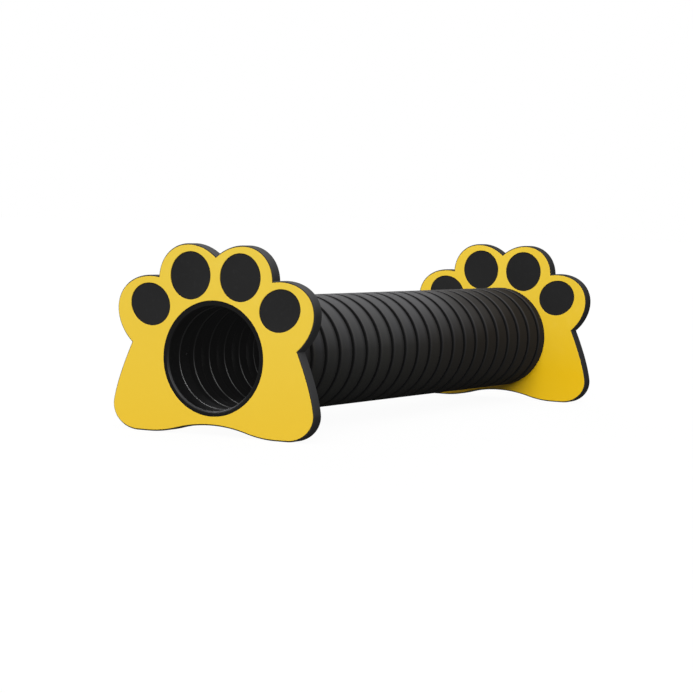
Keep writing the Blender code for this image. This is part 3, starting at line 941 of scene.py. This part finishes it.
boreFlat = collar["boreRadius"] * math.cos(math.pi / collar["flats"])
stack = (("screw", "collar_screw", screwMesh(), boreFlat - seatGap),
         ("washer", "washer", washerMesh(), floorRadius + seatGap),
         ("nut", "nut", nutMesh(), floorRadius + 2 * seatGap + fastener["washer"]))
for side in ("near", "far"):
    for number, degrees in enumerate(fastener["angles"], 1):
        for label, node, mesh, radius in stack:
            x, z = onCircle(radius, degrees)
            place = endPlace(side) @ Matrix.Translation((x, seatGap + pipe["endRib"], z))
            place = place @ Matrix.Rotation(math.radians(90.0 - degrees), 4, "Y")
            own = mesh.copy()
            own.transform(place)
            own.materials.append(blackSteel)
            piece = placeObject(f"{side}{label.capitalize()}{number}", own)
            dress(piece, f"{side}_{node}_{number}")
print("Fasteners placed:", 2 * len(fastener["angles"]), "sets")


# Studio

studio = {
    "floorSize": 160.0,
    "floorColour": (0.80, 0.80, 0.80),
    "bounceColour": (0.10, 0.10, 0.10),
    "floorGlow": 0.95,
    "suns": {"key": {"from": (0.35, -0.85, 0.55), "strength": 2.88, "softness": 40.0},
             "back": {"from": (-0.80, 0.80, 0.10), "strength": 4.7, "softness": 40.0}},
    "beams": {"right": {"from": (2.2, -7.6, 1.7), "power": 1900.0, "radius": 0.224},
              "middle": {"from": (0.9, -7.2, 2.9), "power": 4200.0, "radius": 0.200},
              "left": {"from": (-1.9, -7.0, 3.6), "power": 26000.0, "radius": 0.198}},
    "beamSoftRadius": 0.02,
    "beamBlend": 0.1,
    "skyHorizon": 0.08,
    "skyTop": 1.50,
}


def whiteForView(nodes, links):
    # 1 for what the camera, mirrors and glass see, 0 for what lights the object
    rays = nodes.new("ShaderNodeLightPath")
    seen = rays.outputs["Is Camera Ray"]
    for kind in ("Is Glossy Ray", "Is Transmission Ray"):
        seen = calculate(nodes, links, "MAXIMUM", seen, rays.outputs[kind])
    return seen


def buildFloor():
    # Seen directly it is white but for the object's shadow; as light it gives little back
    bpy.ops.mesh.primitive_plane_add(size=studio["floorSize"], location=(0.0, 0.0, 0.0))
    floor = bpy.context.object
    floor.name = "studioFloor"
    made, nodes, links = newMaterial("paleFloor")
    output = nodes["Material Output"]
    nodes.remove(nodes["Principled BSDF"])
    seen = nodes.new("ShaderNodeBsdfDiffuse")
    seen.inputs["Color"].default_value = (*studio["floorColour"], 1.0)
    glow = nodes.new("ShaderNodeEmission")
    glow.inputs["Color"].default_value = (1.0, 1.0, 1.0, 1.0)
    lit = nodes.new("ShaderNodeMixShader")
    lit.inputs["Fac"].default_value = studio["floorGlow"]
    links.new(seen.outputs["BSDF"], lit.inputs[1])
    links.new(glow.outputs["Emission"], lit.inputs[2])
    bounce = nodes.new("ShaderNodeBsdfDiffuse")
    bounce.inputs["Color"].default_value = (*studio["bounceColour"], 1.0)
    choose = nodes.new("ShaderNodeMixShader")
    links.new(whiteForView(nodes, links), choose.inputs["Fac"])
    links.new(bounce.outputs["BSDF"], choose.inputs[1])
    links.new(lit.outputs["Shader"], choose.inputs[2])
    links.new(choose.outputs["Shader"], output.inputs["Surface"])
    floor.data.materials.append(made)


def buildSky():
    # Seen directly it is white; as light it grows from the horizon to the top
    world = bpy.data.worlds.new("studioSky")
    scene.world = world
    world.use_nodes = True
    nodes, links = world.node_tree.nodes, world.node_tree.links
    background = nodes["Background"]
    coords = nodes.new("ShaderNodeTexCoord")
    split = nodes.new("ShaderNodeSeparateXYZ")
    links.new(coords.outputs["Generated"], split.inputs["Vector"])
    steep = calculate(nodes, links, "MULTIPLY", split.outputs["Z"], split.outputs["Z"])
    height = remap(nodes, links, steep, 0.0, 1.0, studio["skyHorizon"], studio["skyTop"])
    strength = nodes.new("ShaderNodeMix")
    links.new(whiteForView(nodes, links), strength.inputs["Factor"])
    links.new(height, strength.inputs["A"])
    strength.inputs["B"].default_value = 1.0
    links.new(strength.outputs["Result"], background.inputs["Strength"])
    background.inputs["Color"].default_value = (1.0, 1.0, 1.0, 1.0)


entry = Vector((0.0, -endPlane - board["thickness"], axisHeight))       # middle of the near ring


def placeLamp(name, kind, away, centre):
    # A lamp that looks at the centre from where the away vector ends
    lamp = bpy.data.lights.new(name, kind)
    made = bpy.data.objects.new(name, lamp)
    scene.collection.objects.link(made)
    made.location = centre + away
    made.rotation_euler = away.to_track_quat("Z", "Y").to_euler()
    return lamp


def buildSuns():
    for name, look in studio["suns"].items():
        lamp = placeLamp(name + "Sun", "SUN", Vector(look["from"]), Vector())
        lamp.energy = look["strength"]
        lamp.angle = math.radians(look["softness"])


def buildBeams():
    # Narrow beams that fall into the near entry and show the rings in its bore
    for name, look in studio["beams"].items():
        away = Vector(look["from"])
        lamp = placeLamp(name + "Beam", "SPOT", away, entry)
        lamp.energy = look["power"]
        lamp.shadow_soft_size = studio["beamSoftRadius"]
        lamp.spot_size = 2 * math.atan(look["radius"] / away.length)
        lamp.spot_blend = studio["beamBlend"]


buildFloor()
buildSky()
buildSuns()
buildBeams()

# The camera stands to the right of the near entry, a little above the tunnel
camera = {
    "fromEntry": (5.367, -8.893, 0.675),
    "azimuth": 27.924,
    "elevation": 3.330,
    "roll": 1.843,
    "focalPixels": 2400.0,
    "frameWidth": 693.0,
    "sensor": 36.0,
    "clipEnd": 200.0,
}


def buildCamera():
    az, el, roll = (math.radians(camera[key]) for key in ("azimuth", "elevation", "roll"))
    back = Vector((math.sin(az) * math.cos(el), -math.cos(az) * math.cos(el), math.sin(el)))
    right = Vector((math.cos(az), math.sin(az), 0.0))
    up = back.cross(right)
    rolledRight = math.cos(roll) * right + math.sin(roll) * up
    rolledUp = math.cos(roll) * up - math.sin(roll) * right
    data = bpy.data.cameras.new("photoCamera")
    data.sensor_fit = "HORIZONTAL"
    data.sensor_width = camera["sensor"]
    data.lens = camera["sensor"] * camera["focalPixels"] / camera["frameWidth"]
    data.clip_end = camera["clipEnd"]
    made = bpy.data.objects.new("photoCamera", data)
    scene.collection.objects.link(made)
    matrix = Matrix((rolledRight, rolledUp, back)).transposed().to_4x4()
    matrix.translation = entry + Vector(camera["fromEntry"])
    made.matrix_world = matrix
    scene.camera = made


buildCamera()
scene.view_settings.view_transform = "Standard"
print("Studio and camera set")
